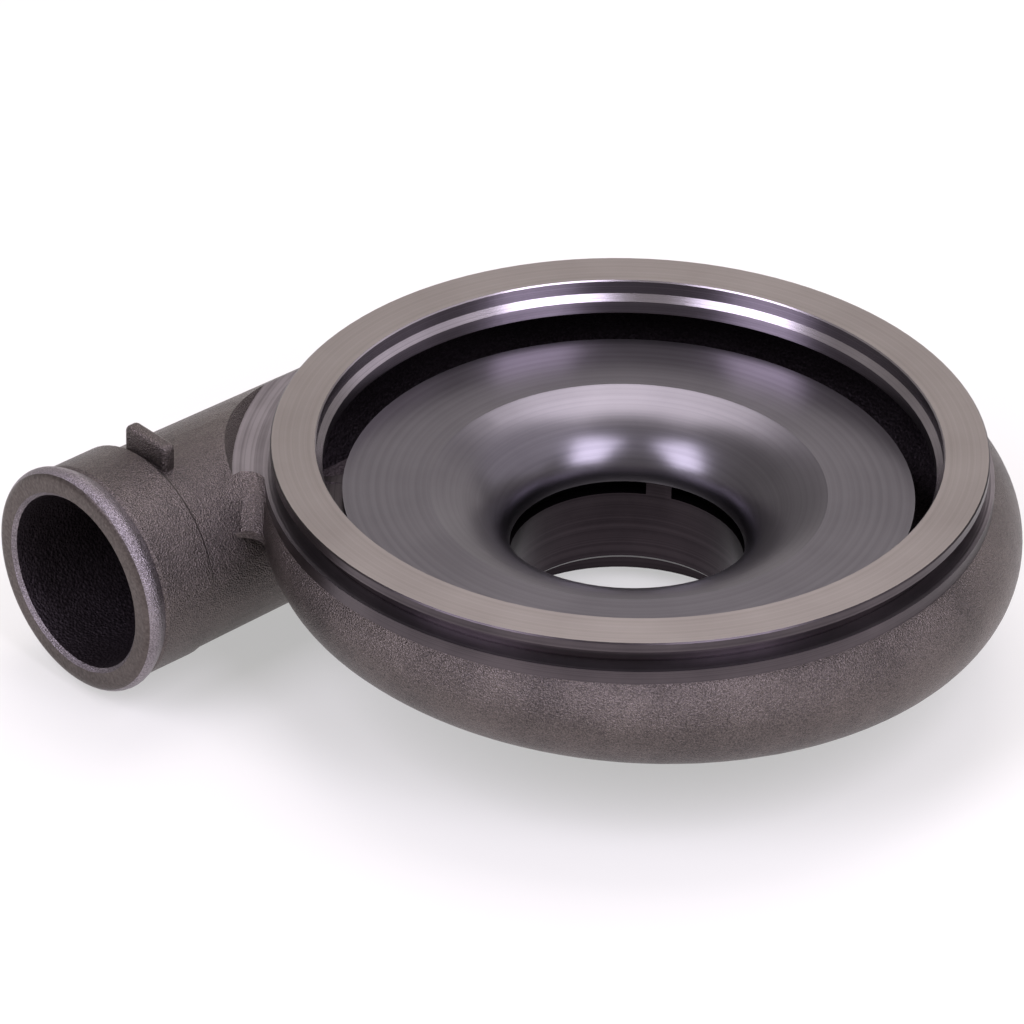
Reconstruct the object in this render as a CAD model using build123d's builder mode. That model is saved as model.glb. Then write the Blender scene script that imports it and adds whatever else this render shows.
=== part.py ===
from build123d import *
import os
from math import acos, cos, degrees, radians, sin, sqrt, tan

# Compressor housing of a large turbocharger: one aluminium casting, turned
# on the side that joins the bearing housing. Millimetres, +Z up the rotor
# axis, origin on that axis in the plane of the turned joint face.

# Joint face and register
pilot_radius = 94.2      # register that centres the backplate
rim_width = 13.8         # flat joint face outside the register
pilot_depth = 4.6
pilot_chamfer = 1.9      # step from the register down to the cover wall
cover_depth = 10.5       # joint face to where the diffuser slot opens
edge_break = 0.4         # turned edges

# Clamp band groove and the turned neck under it
rim_thickness = 3.0
groove_depth = 4.0
groove_taper = 2.1       # slope under the rim that the clamp pulls on
groove_height = 5.6      # rim to shoulder
shoulder_step = 1.8      # shoulder stands outside the rim
neck_height = 4.1
neck_root = 1.5          # the neck runs this far down into the scroll
clamp_room = 9.5         # turned floor beside the shoulder
clamp_flare = 4.4        # sloping wall at the outside of that floor
clamp_rise = 7.0         # height over which it flares

# Diffuser and wheel contour
slot_height = 5.9
disc_gap = 6.1           # disc stops this far inside the cover wall
disc_lip = 3.5           # thickness of the disc edge over the passage
slot_reach = 6.0         # slot runs this far outside the cover wall
contour_radius = 60.0    # where the flat disc turns into the wheel contour
contour_height = 19.8
contour_reach = 37.8     # half width of the ellipse the contour lies on
throat_radius = 35.6

# Ported shroud and inlet
port_slot = 4.3          # ring gap between contour and inducer ring
ring_wall = 3.6
ring_length = 24.3
ring_chamfer = 1.5
port_gap = 5.3           # annular passage outside the ring
rib_count = 3
rib_width = 8.0
rib_length = 21.0
rib_angle = 74.0
rib_root = 1.0           # ribs reach this far into the wall
inlet_wall = 6.3
inlet_lead = 9.1         # inlet bore below the ring
inlet_step = 0.8         # that bore is turned wider than the port
inlet_bead = 2.4
bead_length = 7.0
inlet_chamfer = 1.0
shroud_wall = 7.0        # metal under the disc
shroud_waist = 3.0       # inlet pipe starts to flare this far below the throat
shroud_margin = 2.0      # metal outside the contour and the disc edge

# Scroll
wall = 6.2
scroll_start = 190.0     # azimuth of the smallest section
scroll_turn = 303.0
scroll_steps = 16        # equal steps along the scroll
carry_back = (25.0, 12.0)   # turns by which the first section runs on under the tube
start_radius = 17.6      # outside radius of the first section
end_radius = 31.2        # outside radius of the last section
late_growth = 0.9        # share of the growth that goes with the square of the turn
start_inset = 15.8       # first centre inside the neck
mid_swell = 15.8         # centres swing outward between the ends
start_drop = 7.6         # first centre below the neck
drop_power = 0.7         # below one, the centres drop early in the turn

# Discharge tube
tube_offset = 91.3       # tube axis to rotor axis
tube_drop = 36.2         # tube axis below the joint face
tube_length = 140.9
tube_radius = 32.5       # behind the hose stop
bore_radius = 27.8
bore_land = 14.0         # parallel part of the bore at the mouth
cone_length = 56.0

# Turned hose spigot, a little off the cast tube
spigot_out = 0.9
spigot_rise = 0.7
seat_radius = 34.2
seat_length = 26.4
seat_taper = 2.6         # run-out from seat to tube
seat_root = 1.0          # the run-out ends this far inside the tube's skin
lip_height = 1.7         # rolled lip over the seat
lip_radius = 3.4         # rounding of the lip at the mouth
lip_slope = 32.0         # the back of the lip runs down to the crease
mouth_chamfer = 1.2
crease_depth = 0.5
crease_width = 1.0       # slope from the crease up to the seat
stop_width = 18.5        # hose stop ears
stop_side = 1.9
stop_height = 7.6        # of the upper ear over the tube
stop_below = 4.9         # the lower ear is cut shorter
stop_thickness = 4.6
stop_gap = 2.6
stop_round = 2.2         # their ends
stop_edge = 1.4          # their cast edges

# Web in the valley between scroll and tube
valley_radius = 6.0
web_bite = 0.3           # its face runs this far into the walls beside it
valley_depth = 7.6       # the web ends this far below the neck
flash_radius = 8.0       # casting seam where it ends
flash_thickness = 1.3

# Radii and levels that follow from the sizes above
flange_radius = pilot_radius + rim_width
cover_radius = pilot_radius - pilot_chamfer
groove_radius = flange_radius - groove_depth
neck_radius = flange_radius + shoulder_step
clamp_radius = neck_radius + clamp_room
shoulder_z = -rim_thickness - groove_height
neck_z = shoulder_z - neck_height
disc_z = -cover_depth - slot_height
disc_radius = cover_radius - disc_gap
slot_radius = cover_radius + slot_reach
throat_z = disc_z - contour_height
ring_z = throat_z - port_slot
ring_end = ring_z - ring_length
inlet_z = ring_end - inlet_lead
ring_radius = throat_radius + ring_wall
inlet_bore = ring_radius + port_gap
inlet_radius = inlet_bore + inlet_wall
passage_end = end_radius - wall
tube_angle = scroll_start + scroll_turn - 90
above = 5.0              # cutters start clear of the joint face

# Ellipse of the wheel contour
contour_centre = throat_radius + contour_reach
contour_turn = degrees(acos((contour_radius - contour_centre) / contour_reach))
contour_rise = contour_height / sin(radians(contour_turn))


def section(step):
    """Azimuth, centre radius, level and outside radius of one scroll section."""
    u = step / scroll_steps
    out = neck_radius - start_inset
    level = neck_z - start_drop
    growth = (1 - late_growth) * u + late_growth * u * u
    radius = start_radius + (end_radius - start_radius) * growth
    centre = out + (tube_offset - out) * u * u + mid_swell * u * (1 - u)
    drop = level + (-tube_drop - level) * u ** drop_power
    return scroll_start + scroll_turn * u, centre, drop, radius


def section_plane(azimuth, centre, level):
    """Plane across the scroll at an azimuth, its normal along the flow."""
    a = radians(azimuth)
    return Plane(origin=(centre * cos(a), centre * sin(a), level),
                 x_dir=(cos(a), sin(a), 0), z_dir=(-sin(a), cos(a), 0))


def tube_plane(back, out=0.0, rise=0.0):
    """Plane across the tube, a distance back from the mouth."""
    a, b = radians(tube_angle), radians(tube_angle + 90)
    run = back - tube_length
    side = tube_offset + out
    return Plane(origin=(side * cos(b) + run * cos(a), side * sin(b) + run * sin(a),
                         rise - tube_drop),
                 x_dir=(cos(b), sin(b), 0), z_dir=(cos(a), sin(a), 0))


def valley(level, radius):
    """Plan points of the web where the tube flank meets the neck at a level."""
    azimuth, centre, drop, start = section(0)
    flank_radius = (2 * tube_radius + end_radius) / 3
    flank = tube_offset - sqrt(flank_radius ** 2 - (level + tube_drop) ** 2)
    side = centre + sqrt(start ** 2 - (level - drop) ** 2)
    side = neck_radius if level > neck_z else side
    across = radians(tube_angle + 90)

    def place(off, r):
        a = across + acos(off / r)
        return Vector(r * cos(a), r * sin(a), level)

    room = radius - web_bite
    ball = place(flank - room, side + room)
    deep = place(flank + radius, side - radius)
    on_tube = ball + Vector(cos(across), sin(across), 0) * radius
    on_neck = ball + Vector(ball.X, ball.Y, 0) * (-radius / (side + room))
    hollow = ball + (place(flank, side) - ball).normalized() * radius
    return on_tube, hollow, on_neck, deep


# Outside of the casting: scroll, tube, spigot, shroud and rim
with BuildPart() as housing:
    # Scroll, carried back under the tube so that the two run together
    for back in carry_back:
        azimuth, centre, level, radius = section(0)
        with BuildSketch(section_plane(azimuth - back, centre, level)):
            Circle(radius)
    for step in range(scroll_steps + 1):
        azimuth, centre, level, radius = section(step)
        with BuildSketch(section_plane(azimuth, centre, level)):
            Circle(radius)
    loft()

    # Cast discharge tube with its slight draft
    with BuildSketch(tube_plane(seat_length)):
        Circle(tube_radius)
    with BuildSketch(tube_plane(tube_length)):
        Circle(end_radius)
    loft()

    # Hose spigot: rolled lip, shallow crease, turned seat and run-out
    with BuildSketch(Plane(tube_plane(0, spigot_out, spigot_rise).origin,
                           x_dir=tube_plane(0).x_dir,
                           z_dir=tube_plane(0).y_dir)) as spigot_half:
        with BuildLine():
            lip_base = seat_radius + lip_height - lip_radius
            crease = seat_radius - crease_depth
            slope = radians(lip_slope)
            Line((0, 0), (lip_base, 0))
            lip = ThreePointArc((lip_base, 0), (lip_base + lip_radius, -lip_radius),
                                (lip_base + lip_radius * cos(slope),
                                 -lip_radius * (1 + sin(slope))))
            back = (lip @ 1).Y - ((lip @ 1).X - crease) / tan(slope)
            Polyline(lip @ 1, (crease, back), (seat_radius, back - crease_width),
                     (seat_radius, -seat_length),
                     (tube_radius - seat_root, -seat_length - seat_taper),
                     (0, -seat_length - seat_taper), (0, 0))
        make_face()
    revolve(axis=Axis(tube_plane(0, spigot_out, spigot_rise).origin,
                      tube_plane(0).z_dir), revolution_arc=360)

    # Hose stop ears above and below the tube, behind the seat
    with BuildPart(mode=Mode.PRIVATE) as ears:
        with BuildSketch(tube_plane(seat_length + stop_gap)):
            with Locations((stop_side, (stop_height - stop_below) / 2)):
                RectangleRounded(stop_width, 2 * tube_radius + stop_height + stop_below,
                                 stop_round)
        extrude(amount=stop_thickness)
        ends = faces().sort_by(Axis(tube_plane(0).origin, tube_plane(0).z_dir))
        fillet(ends[0].edges() + ends[-1].edges(), stop_edge)
    add(ears.part)

    # Web with a hollow face that fills the valley between neck and tube
    web_end = neck_z - valley_depth
    for level in (shoulder_z, neck_z, neck_z - valley_depth / 2, web_end):
        on_tube, hollow, on_neck, deep = valley(level, valley_radius)
        with BuildSketch(Plane.XY.offset(level)):
            with BuildLine():
                ThreePointArc(on_tube, hollow, on_neck)
                Polyline(on_neck, deep, on_tube)
            make_face()
    loft(ruled=True)
    on_tube, hollow, on_neck, deep = valley(web_end, flash_radius)
    with BuildSketch(Plane.XY.offset(web_end)):
        with BuildLine():
            ThreePointArc(on_tube, hollow, on_neck)
            Polyline(on_neck, deep, on_tube)
        make_face()
    extrude(amount=-flash_thickness)

    # Rim and turned neck
    with BuildSketch(Plane.XZ):
        with BuildLine():
            root = neck_z - neck_root
            Polyline((disc_radius, above), (neck_radius, above), (neck_radius, root),
                     (disc_radius, root), (disc_radius, above))
        make_face()
    revolve(axis=Axis.Z)

    # Shroud under the disc and the inlet pipe with its hose bead
    with BuildSketch(Plane.XZ):
        with BuildLine():
            under = disc_z - shroud_wall
            bead_z = inlet_z + inlet_chamfer
            rim = disc_radius + shroud_margin
            Polyline((0, inlet_z), (inlet_radius - inlet_chamfer, inlet_z),
                     (inlet_radius, bead_z),
                     (inlet_radius + inlet_bead, bead_z + inlet_bead),
                     (inlet_radius + inlet_bead, bead_z + bead_length - inlet_bead),
                     (inlet_radius, bead_z + bead_length),
                     (inlet_radius, throat_z - shroud_waist),
                     (contour_radius + shroud_margin, under - shroud_margin),
                     (rim, under), (rim, disc_z), (0, disc_z), (0, inlet_z))
        make_face()
    revolve(axis=Axis.Z)

    # Flow passage: scroll, then the tube bore opening out to the mouth
    for step in range(scroll_steps + 1):
        azimuth, centre, level, radius = section(step)
        with BuildSketch(section_plane(azimuth, centre, level)):
            Circle(radius - wall)
    loft(mode=Mode.SUBTRACT)
    with BuildSketch(tube_plane(tube_length)):
        Circle(passage_end)
    with BuildSketch(tube_plane(bore_land + cone_length)):
        Circle(passage_end)
    loft(mode=Mode.SUBTRACT)
    with BuildSketch(tube_plane(bore_land + cone_length)):
        Circle(passage_end)
    with BuildSketch(tube_plane(bore_land, spigot_out, spigot_rise)):
        Circle(bore_radius)
    loft(mode=Mode.SUBTRACT)
    with BuildSketch(tube_plane(bore_land, spigot_out, spigot_rise)):
        Circle(bore_radius)
    extrude(amount=-bore_land, mode=Mode.SUBTRACT)
    with BuildSketch(tube_plane(0, spigot_out, spigot_rise)):
        Circle(bore_radius + mouth_chamfer)
    with BuildSketch(tube_plane(mouth_chamfer, spigot_out, spigot_rise)):
        Circle(bore_radius)
    loft(mode=Mode.SUBTRACT)

    # Ring gap down into the passage, and the edge of the diffuser disc that
    # stands out over it
    with BuildSketch(Plane.XZ):
        with BuildLine():
            Polyline((disc_radius, -cover_depth), (slot_radius, -cover_depth),
                     (slot_radius, disc_z - disc_lip), (disc_radius, disc_z - disc_lip),
                     (disc_radius, -cover_depth))
        make_face()
    revolve(axis=Axis.Z, mode=Mode.SUBTRACT)
    with BuildSketch(Plane.XZ):
        with BuildLine():
            Polyline((contour_radius, disc_z), (disc_radius, disc_z),
                     (disc_radius, disc_z - disc_lip), (contour_radius, disc_z - disc_lip),
                     (contour_radius, disc_z))
        make_face()
    revolve(axis=Axis.Z)

    # Everything turned from the joint side: register, cover wall, slot,
    # disc face, wheel contour and the bore for the ported shroud
    with BuildSketch(Plane.XZ):
        with BuildLine():
            Polyline((0, above), (pilot_radius + edge_break, above),
                     (pilot_radius + edge_break, 0), (pilot_radius, -edge_break),
                     (pilot_radius, -pilot_depth),
                     (cover_radius, -pilot_depth - pilot_chamfer),
                     (cover_radius, -cover_depth), (slot_radius, -cover_depth),
                     (slot_radius, disc_z), (contour_radius, disc_z))
            EllipticalCenterArc((contour_centre, throat_z), contour_reach, contour_rise,
                                start_angle=contour_turn, arc_size=180 - contour_turn)
            Polyline((throat_radius, throat_z), (inlet_bore, throat_z),
                     (inlet_bore, ring_end), (inlet_bore + inlet_step, ring_end),
                     (inlet_bore + inlet_step, inlet_z - above), (0, inlet_z - above),
                     (0, above))
        make_face()
    revolve(axis=Axis.Z, mode=Mode.SUBTRACT)

    # Everything turned from outside: joint face, band groove, shoulder, floor
    with BuildSketch(Plane.XZ):
        with BuildLine():
            wide = clamp_radius + clamp_flare
            Polyline((0, 2 * above), (0, 0), (flange_radius - edge_break, 0),
                     (flange_radius, -edge_break), (flange_radius, -rim_thickness),
                     (groove_radius, -rim_thickness - groove_taper),
                     (groove_radius, shoulder_z), (clamp_radius, shoulder_z),
                     (wide, shoulder_z + clamp_rise), (wide, 2 * above), (0, 2 * above))
        make_face()
    revolve(axis=Axis.Z, mode=Mode.SUBTRACT)

    # Inducer ring held by ribs across the port
    with BuildSketch(Plane.XZ):
        with BuildLine():
            Polyline((throat_radius, ring_z), (ring_radius, ring_z), (ring_radius, ring_end),
                     (throat_radius + ring_chamfer, ring_end),
                     (throat_radius, ring_end + ring_chamfer), (throat_radius, ring_z))
        make_face()
    revolve(axis=Axis.Z)
    with BuildSketch(Plane.XY.offset(throat_z)):
        with PolarLocations(0, rib_count, start_angle=rib_angle):
            with Locations(((throat_radius + inlet_bore) / 2, 0)):
                Rectangle(inlet_bore - throat_radius + 2 * rib_root, rib_width)
        Circle(throat_radius, mode=Mode.SUBTRACT)
    extrude(amount=-rib_length)

# One casting, one node
os.makedirs("parts", exist_ok=True)
housing.part.label = "compressor_housing"
export_step(housing.part, "parts/compressor_housing.step")
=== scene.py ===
from math import atan2, cos, degrees, hypot, radians, sin

import bmesh
import bpy
from mathutils import Matrix, Vector


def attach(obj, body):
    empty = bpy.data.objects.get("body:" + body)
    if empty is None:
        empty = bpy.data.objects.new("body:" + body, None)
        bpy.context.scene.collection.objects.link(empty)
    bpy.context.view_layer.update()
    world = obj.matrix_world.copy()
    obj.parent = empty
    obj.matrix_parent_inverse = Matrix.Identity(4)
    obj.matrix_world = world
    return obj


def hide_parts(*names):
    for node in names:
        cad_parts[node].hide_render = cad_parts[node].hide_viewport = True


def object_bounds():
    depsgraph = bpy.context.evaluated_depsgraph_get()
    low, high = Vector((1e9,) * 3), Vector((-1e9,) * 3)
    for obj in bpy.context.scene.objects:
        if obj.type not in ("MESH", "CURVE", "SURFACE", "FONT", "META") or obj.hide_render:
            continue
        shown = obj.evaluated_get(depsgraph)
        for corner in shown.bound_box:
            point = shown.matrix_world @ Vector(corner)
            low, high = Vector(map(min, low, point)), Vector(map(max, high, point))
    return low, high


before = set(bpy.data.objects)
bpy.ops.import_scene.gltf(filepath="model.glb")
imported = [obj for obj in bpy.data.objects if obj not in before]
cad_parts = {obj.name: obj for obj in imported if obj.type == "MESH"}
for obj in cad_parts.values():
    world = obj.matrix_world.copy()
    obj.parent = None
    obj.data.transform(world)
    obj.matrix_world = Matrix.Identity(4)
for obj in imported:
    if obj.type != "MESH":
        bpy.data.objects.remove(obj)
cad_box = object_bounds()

# The camera stands well back with a long lens, in front of the housing and
# 33 degrees above it, as in the photograph. Its place is counted in radii of
# the joint flange from the centre of the joint face.
scene = bpy.context.scene
flange_radius = 0.108
camera_height = radians(32.88)
camera_roll = radians(1.23)
camera_lens = 291.0
right_shift, up_shift, distance = 0.328, 0.190, 22.984

forward = Vector((0, cos(camera_height), -sin(camera_height)))
level_up = Vector((0, sin(camera_height), cos(camera_height)))
level_right = Vector((1, 0, 0))
camera_right = cos(camera_roll) * level_right + sin(camera_roll) * level_up
camera_up = cos(camera_roll) * level_up - sin(camera_roll) * level_right
camera_place = -flange_radius * (
    right_shift * camera_right + up_shift * camera_up + distance * forward)

camera_data = bpy.data.cameras.new("camera")
camera_data.lens = camera_lens
camera = bpy.data.objects.new("camera", camera_data)
camera.matrix_world = Matrix.LocRotScale(
    camera_place,
    Matrix((camera_right, camera_up, -forward)).transposed(), None)
scene.collection.objects.link(camera)
bpy.context.scene.camera = camera

# The housing is one aluminium casting. Its mesh is the CAD solid's own, with
# the doubled points merged, so that each part of its surface can have its own
# finish: as cast, turned, or turned fine and polished for the wheel.
cad_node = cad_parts["compressor_housing"]
bpy.ops.object.select_all(action="DESELECT")
casting = bpy.data.objects.new("housing_casting", cad_node.data.copy())
scene.collection.objects.link(casting)
mesh = casting.data
mesh.materials.clear()

merge_distance = 1e-6
crease_angle = radians(22)
shape = bmesh.new()
shape.from_mesh(mesh)
bmesh.ops.remove_doubles(shape, verts=shape.verts, dist=merge_distance)
shape.to_mesh(mesh)
shape.free()

bpy.context.view_layer.objects.active = casting
casting.select_set(True)
if mesh.has_custom_normals:
    bpy.ops.mesh.customdata_custom_splitnormals_clear()
bpy.ops.object.shade_smooth_by_angle(angle=crease_angle)
casting.select_set(False)

# The turned contour meets the flat disc in a faint but crisp ring, so the
# edges of that ring are marked sharp. A point within `near` of it is on it.
contour_radius, disc_level, near = 0.0600, -0.0164, 0.00005
for edge in mesh.edges:
    ends = [mesh.vertices[i].co for i in edge.vertices]
    if all(abs(end.xy.length - contour_radius) < near
           and abs(end.z - disc_level) < near for end in ends):
        edge.use_edge_sharp = True


def linear(hex_colour):
    """An sRGB hex colour as the linear colour that a shader takes."""
    parts = [int(hex_colour[i:i + 2], 16) / 255 for i in (1, 3, 5)]
    return [c / 12.92 if c <= 0.04045 else ((c + 0.055) / 1.055) ** 2.4
            for c in parts] + [1.0]


def add_node(tree, kind, inputs=(), **settings):
    """Adds a node with its settings; an input that is given a socket is linked."""
    node = tree.nodes.new(kind)
    for name, value in settings.items():
        setattr(node, name, value)
    for name, value in dict(inputs).items():
        if isinstance(value, bpy.types.NodeSocket):
            tree.links.new(value, node.inputs[name])
        else:
            node.inputs[name].default_value = value
    return node


def new_material(name):
    """A material with its node tree, its shader and a place socket in metres."""
    material = bpy.data.materials.new(name)
    material.use_nodes = True
    tree = material.node_tree
    shader = tree.nodes["Principled BSDF"]
    place = add_node(tree, "ShaderNodeTexCoord").outputs["Object"]
    return material, tree, shader, place


# Noise seldom leaves this middle range, so the tones are spread over it.
tone_range = (0.36, 0.64)


# Skin of the casting: aluminium poured in a sand mould and shot blasted. It is
# dull and brownish grey, with a grain of half a millimetre that sparkles where
# the light catches it, lumps of 5 mm and patches of tone of 25 mm.
def cast_material(name, low, high, roughness, grain_size, depth):
    """Cast metal between two tones, with a grain of a given size and depth."""
    patch_size, lump_size, lump_depth = 0.025, 0.005, 0.0008
    material, tree, shader, place = new_material(name)
    patches = add_node(tree, "ShaderNodeTexNoise",
                       {"Vector": place, "Scale": 1 / patch_size, "Detail": 5.0,
                        "Roughness": 0.6})
    grain = add_node(tree, "ShaderNodeTexNoise",
                     {"Vector": place, "Scale": 1 / grain_size, "Detail": 3.0,
                      "Roughness": 0.65})
    lumps = add_node(tree, "ShaderNodeTexNoise",
                     {"Vector": place, "Scale": 1 / lump_size, "Detail": 3.0})
    specks = add_node(tree, "ShaderNodeTexVoronoi",
                      {"Vector": place, "Scale": 1 / grain_size})
    speckle = add_node(tree, "ShaderNodeMix",
                       {"Factor": 0.7, "A": patches.outputs["Fac"],
                        "B": grain.outputs["Fac"]}, data_type="FLOAT")
    tones = add_node(tree, "ShaderNodeValToRGB", {"Fac": speckle.outputs["Result"]})
    for element, position, colour in zip(tones.color_ramp.elements, tone_range,
                                         (low, high)):
        element.position, element.color = position, linear(colour)
    tree.links.new(tones.outputs["Color"], shader.inputs["Base Color"])
    shader.inputs["Metallic"].default_value = 1.0
    shader.inputs["Roughness"].default_value = roughness
    relief = add_node(tree, "ShaderNodeMath", {0: grain.outputs["Fac"],
                                               1: specks.outputs["Distance"]},
                      operation="ADD")
    coarse = add_node(tree, "ShaderNodeBump", {"Height": lumps.outputs["Fac"],
                                               "Distance": lump_depth,
                                               "Strength": 0.25})
    fine = add_node(tree, "ShaderNodeBump", {"Height": relief.outputs[0],
                                             "Normal": coarse.outputs["Normal"],
                                             "Distance": depth, "Strength": 0.8})
    tree.links.new(fine.outputs["Normal"], shader.inputs["Normal"])
    return material


cast_skin = cast_material("sand_cast_aluminium", "#454040", "#7d7370", 0.38,
                          0.0005, 0.00034)

# Inside of scroll and tube: the skin a sand core leaves, duller, and darker as
# painted shade inside the passage.
cored_shaded_skin = cast_material("cored_aluminium_painted_shade", "#342d31", "#534b50", 0.6,
                           0.0009, 0.0003)

# Back of the rolled lip, and the chamfer of the mouth: blasted bright, a paler
# grey with the grain of the sand still in it.
blasted = cast_material("blasted_aluminium", "#655e62", "#a59ca1", 0.36,
                        0.0005, 0.00030)

# Front of the rolled lip: cast metal rubbed nearly smooth and stained, so a
# darker brownish grey with hardly any grain.
lip_skin = cast_material("worn_cast_aluminium", "#4d4644", "#665e5b", 0.42,
                         0.0010, 0.00008)


# Turned surfaces. The tool left rings of a tenth or two of a millimetre round
# the rotor axis, which draw the light out across them. They are given as that
# drawn-out shine, and drawn coarser, about 1 mm, in tone, so that they show.
def turned_material(name, low, high, roughness, shine, ring_width, depth=0.0):
    """Turned metal between two tones, with rings round the rotor axis."""
    stain_size, quarter_turn = 0.03, 0.25
    material, tree, shader, place = new_material(name)
    flat = add_node(tree, "ShaderNodeVectorMath", {0: place, 1: (1, 1, 0)},
                    operation="MULTIPLY")
    reach = add_node(tree, "ShaderNodeVectorMath", {0: flat.outputs[0]},
                     operation="LENGTH")
    parts = add_node(tree, "ShaderNodeSeparateXYZ", {"Vector": place})
    ring = add_node(tree, "ShaderNodeCombineXYZ", {"X": reach.outputs["Value"],
                                                   "Y": parts.outputs["Z"]})
    rings = add_node(tree, "ShaderNodeTexNoise",
                     {"Vector": ring.outputs[0], "Scale": 1 / ring_width,
                      "Detail": 3.0, "Roughness": 0.6}, noise_dimensions="2D")
    stains = add_node(tree, "ShaderNodeTexNoise",
                      {"Vector": place, "Scale": 1 / stain_size, "Detail": 4.0})
    tone = add_node(tree, "ShaderNodeMix",
                    {"Factor": 0.5, "A": rings.outputs["Fac"],
                     "B": stains.outputs["Fac"]}, data_type="FLOAT")
    tones = add_node(tree, "ShaderNodeValToRGB", {"Fac": tone.outputs["Result"]})
    for element, position, colour in zip(tones.color_ramp.elements, tone_range,
                                         (low, high)):
        element.position, element.color = position, linear(colour)
    tree.links.new(tones.outputs["Color"], shader.inputs["Base Color"])
    along = add_node(tree, "ShaderNodeVectorMath", {0: (0, 0, 1), 1: place},
                     operation="CROSS_PRODUCT")
    along = add_node(tree, "ShaderNodeVectorMath", {0: along.outputs[0]},
                     operation="NORMALIZE")
    tree.links.new(along.outputs[0], shader.inputs["Tangent"])
    if depth:
        marks = add_node(tree, "ShaderNodeBump", {"Height": rings.outputs["Fac"],
                                                  "Distance": depth, "Strength": 0.5})
        tree.links.new(marks.outputs["Normal"], shader.inputs["Normal"])
    shader.inputs["Anisotropic"].default_value = shine
    shader.inputs["Anisotropic Rotation"].default_value = quarter_turn
    shader.inputs["Metallic"].default_value = 1.0
    shader.inputs["Roughness"].default_value = roughness
    return material


# Joint face: turned flat as the last cut, so even and satin, a pale warm grey
# with rings that hardly show.
faced = turned_material("faced_aluminium", "#8a827f", "#98908d", 0.42, 0.2, 0.0012)

# Register and bevel: bored to size with a fine cut, so sharper in their shine
# than the rest of the turning; their paler tones are a painted highlight.
bored = turned_material("bored_aluminium", "#8d868b", "#b3abb1", 0.22, 0.4, 0.0006)

# Floor beside the shoulder: cut by a tool that jumped over the casting, which
# left rings that can be counted. Its lighter tones, beside the darker turning of
# the groove walls, are painted light on this upward face.
floor_cut = turned_material("rough_turned_aluminium", "#6f686c", "#9a9297", 0.36,
                            0.3, 0.0016, 0.0003)

# Groove, shoulder and neck: turned quickly, and given a darker grey as painted
# shade under the flange and in the ring gap.
turned = turned_material("turned_aluminium", "#3f3a3d", "#5c5558", 0.32, 0.4, 0.0008)

# Diffuser disc and wheel contour: turned with a fine feed, as the air passes
# close over them, so smooth and a cool darker grey in which the lamps show.
polished = turned_material("fine_turned_aluminium", "#6b676d", "#777379", 0.28,
                           0.2, 0.0015, 0.00002)

# Inducer ring, port and inlet bore: turned, and given the darkest tones of the
# turned surfaces as painted shade inside the way through the wheel.
shaded_bore_turning = turned_material("bore_turning_painted_shade", "#2c262a", "#3e373b", 0.3,
                        0.3, 0.0010)

finishes = (cast_skin, cored_shaded_skin, blasted, lip_skin, faced, bored, floor_cut,
            turned, polished, shaded_bore_turning)
for material in finishes:
    mesh.materials.append(material)

# Which finish each face has goes by its place: its distance from the rotor
# axis and its level, or its distance from the tube's axis and from the mouth.
# The passage's middle line and radius tell its wall from the outer skin.
throat_radius, inlet_radius, disc_edge = 0.0356, 0.0455, 0.0862
register_radius, ring_gap_radius = 0.0948, 0.0983
neck_radius, clamp_radius = 0.1098, 0.1193
floor_level, cover_level, neck_level = -0.0086, -0.0105, -0.0127
gap_level, throat_level = -0.0199, -0.0362

# The tube: its turn round the rotor axis, its place beside it, and from the
# mouth inward its chamfer and the front and end of the lip.
tube_turn, tube_offset, tube_length = radians(43), 0.0922, 0.1409
tube_level, bore_radius, lip_foot = -0.0355, 0.0290, 0.0277
mouth_chamfer, lip_front, lip_end = 0.0012, 0.0009, 0.0079
inward = Vector((cos(tube_turn), sin(tube_turn), 0))
sideways = Vector((-sin(tube_turn), cos(tube_turn), 0))
mouth = tube_offset * sideways - tube_length * inward + Vector((0, 0, tube_level))

# The scroll: where it begins and how far it turns, in degrees, and how the
# middle, level and outside radius of its section change on the way.
scroll_begin, scroll_turn = 190.0, 303.0
middle_radius, middle_drift, middle_bulge = 0.0940, 0.0027, 0.0158
passage_level, passage_drop, drop_power = -0.0203, 0.0159, 0.7
passage_radius, passage_growth, late_growth = 0.0176, 0.0136, 0.9
half_wall = 0.003


def inside_scroll(point):
    """Whether a point lies on the passage's wall and not on the outer skin."""
    turn = (degrees(atan2(point.y, point.x)) - scroll_begin) % 360
    if turn > scroll_turn:
        return False
    u = turn / scroll_turn
    middle = middle_radius - middle_drift * u * u + middle_bulge * u * (1 - u)
    level = passage_level - passage_drop * u ** drop_power
    growth = (1 - late_growth) * u + late_growth * u * u
    outside = passage_radius + passage_growth * growth
    return hypot(point.xy.length - middle, point.z - level) < outside - half_wall


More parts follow.
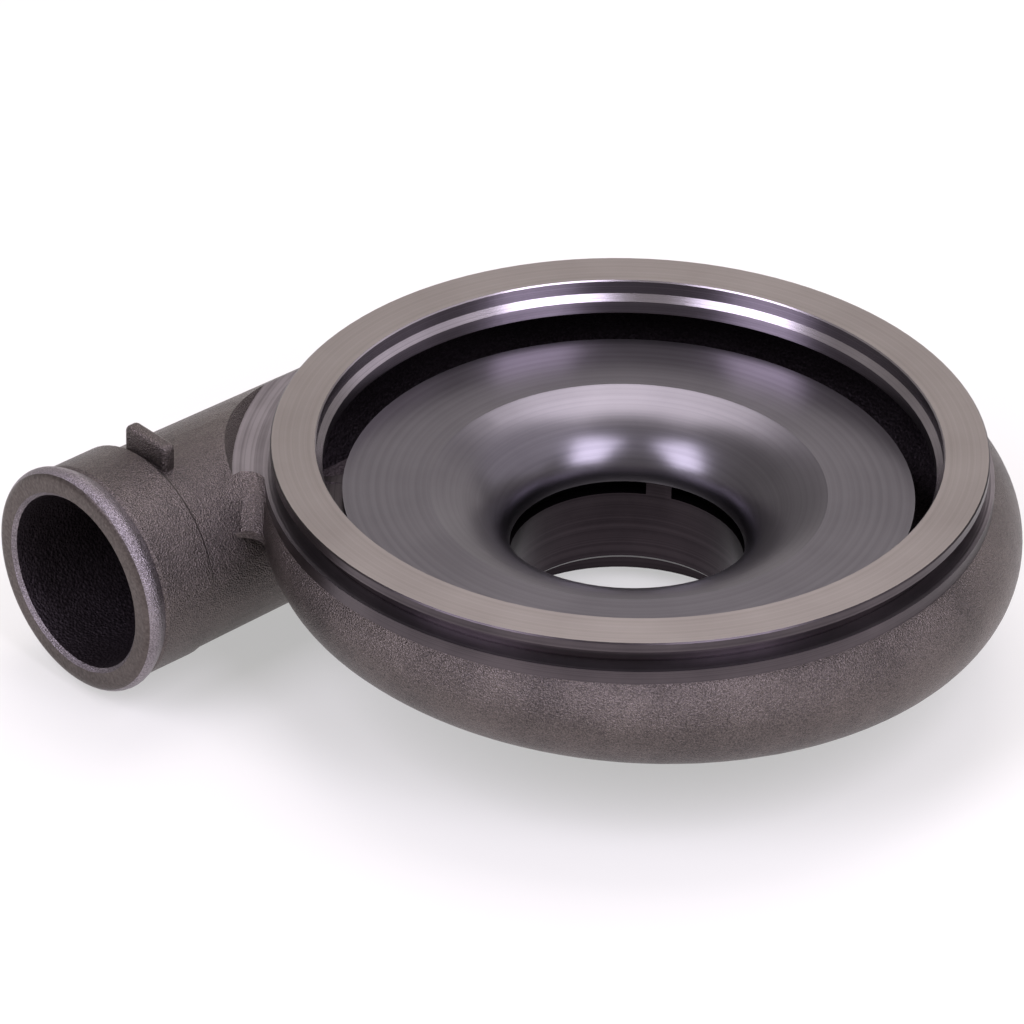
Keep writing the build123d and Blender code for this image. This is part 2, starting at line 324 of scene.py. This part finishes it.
def finish_of(point):
    """The finish of the face whose middle is at a point."""
    reach = point.xy.length
    back = (point - mouth).dot(inward)
    off = (point - mouth - back * inward).length

    # Disc and contour, and the way through them
    # The throat and, below, the inlet bore get the darkest turned tones, painted shade.
    if reach < disc_edge + near and throat_level - near < point.z < disc_level + near:
        return shaded_bore_turning if reach < throat_radius - near else polished
    if reach < inlet_radius + near and point.z <= throat_level:
        return shaded_bore_turning

    # Joint face, register with its bevel, and what the clamp needs round them
    if point.z > -near and reach < neck_radius:
        return faced
    # Register and bevel take the paler bored tones, a painted highlight.
    if reach < register_radius and point.z > cover_level - near:
        return bored
    # Groove walls and neck take the darker turned grey, painted shade; the groove floor
    # takes the lighter rough turning, painted light.
    if register_radius < reach < neck_radius + near and point.z > neck_level - near:
        return floor_cut if abs(point.z - floor_level) < near else turned
    # The shoulder face out to the clamp takes the lighter rough turning, painted light.
    if reach < clamp_radius + near and abs(point.z - floor_level) < near:
        return floor_cut

    # Mouth, bore and lip of the tube
    if near < back < mouth_chamfer and off < bore_radius:
        return blasted
    # The tube's bore takes the darkened cored skin, painted shade.
    if back < tube_length and off < bore_radius and point.z < disc_level:
        return cored_shaded_skin
    if back < lip_end and off > lip_foot:
        return lip_skin if back < lip_front else blasted

    # Cover wall over the ring gap, the passage below it, and the outer skin
    # The cover wall over the ring gap takes the darker turned grey, painted shade.
    if disc_edge - near < reach < ring_gap_radius + near and point.z > gap_level - near:
        return turned
    # The passage wall takes the darkened cored skin, painted shade.
    if inside_scroll(point):
        return cored_shaded_skin
    return cast_skin


for face in mesh.polygons:
    face.material_index = finishes.index(finish_of(face.center))
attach(casting, "root")
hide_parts("compressor_housing")

# A plain pale floor under the inlet end, on which the housing rests. It glows
# white for the camera and in the metal, and keeps the housing's soft shadow.
floor_size, floor_glow = 12.0, 0.45
bpy.ops.object.select_all(action="DESELECT")
bpy.ops.mesh.primitive_plane_add(size=floor_size, location=(0, 0, cad_box[0][2]))
floor = bpy.context.object
floor.name = "floor"
paper = bpy.data.materials.new("pale_grey_paper")
paper.use_nodes = True
tree = paper.node_tree
shader = tree.nodes["Principled BSDF"]
shader.inputs["Base Color"].default_value = linear("#b4b1ad")
shader.inputs["Roughness"].default_value = 0.9
rays = add_node(tree, "ShaderNodeLightPath")
seen = add_node(tree, "ShaderNodeMath", {0: rays.outputs["Is Camera Ray"],
                                         1: rays.outputs["Is Glossy Ray"]},
                operation="MAXIMUM")
seen = add_node(tree, "ShaderNodeMath", {0: seen.outputs[0],
                                         1: rays.outputs["Is Transmission Ray"]},
                operation="MAXIMUM")
glow = add_node(tree, "ShaderNodeMath", {0: seen.outputs[0], 1: floor_glow},
                operation="MULTIPLY")
tree.links.new(glow.outputs[0], shader.inputs["Emission Strength"])
shader.inputs["Emission Color"].default_value = (1, 1, 1, 1)
floor.data.materials.append(paper)

# Soft studio light: two soft boxes, one each side of the camera, whose shapes
# show in the wheel contour, a larger one at the right, one overhead and behind,
# a dim one low behind for the near side of the contour, and grey room light.
scene.view_settings.view_transform = "Standard"


def soft_box(name, azimuth, height, distance, size, power, colour):
    """A flat lamp that looks at the housing from an azimuth and a height."""
    a, h = radians(azimuth), radians(height)
    toward = Vector((cos(a) * cos(h), sin(a) * cos(h), sin(h)))
    data = bpy.data.lights.new(name, "AREA")
    data.shape = "RECTANGLE"
    data.size, data.size_y = size
    data.energy = power
    data.color = linear(colour)[:3]
    lamp = bpy.data.objects.new(name, data)
    lamp.location = toward * distance
    lamp.rotation_euler = toward.to_track_quat("Z", "Y").to_euler()
    scene.collection.objects.link(lamp)


# Azimuth and height are in degrees, the distance and the width and height of
# each lamp in metres, and the power in watts.
soft_box("soft_box_right", -52, 45, 1.6, (0.75, 1.20), 17.5, "#eeeaff")
soft_box("soft_box_left", -144, 42, 1.6, (0.75, 1.20), 15.5, "#eeeaff")
soft_box("soft_box_side", 20, 50, 2.0, (2.0, 2.0), 7, "#f4efff")
soft_box("soft_box_above", 90, 67, 1.8, (1.1, 1.1), 12.5, "#fffaff")
soft_box("soft_box_back", 78, 17, 2.4, (1.8, 1.8), 5, "#fffaf6")

world = bpy.data.worlds.new("room")
scene.world = world
world.use_nodes = True
room = world.node_tree.nodes["Background"]
room_grey = (0.36, 0.345, 0.335, 1)
room.inputs["Color"].default_value = room_grey
room.inputs["Strength"].default_value = 1.0
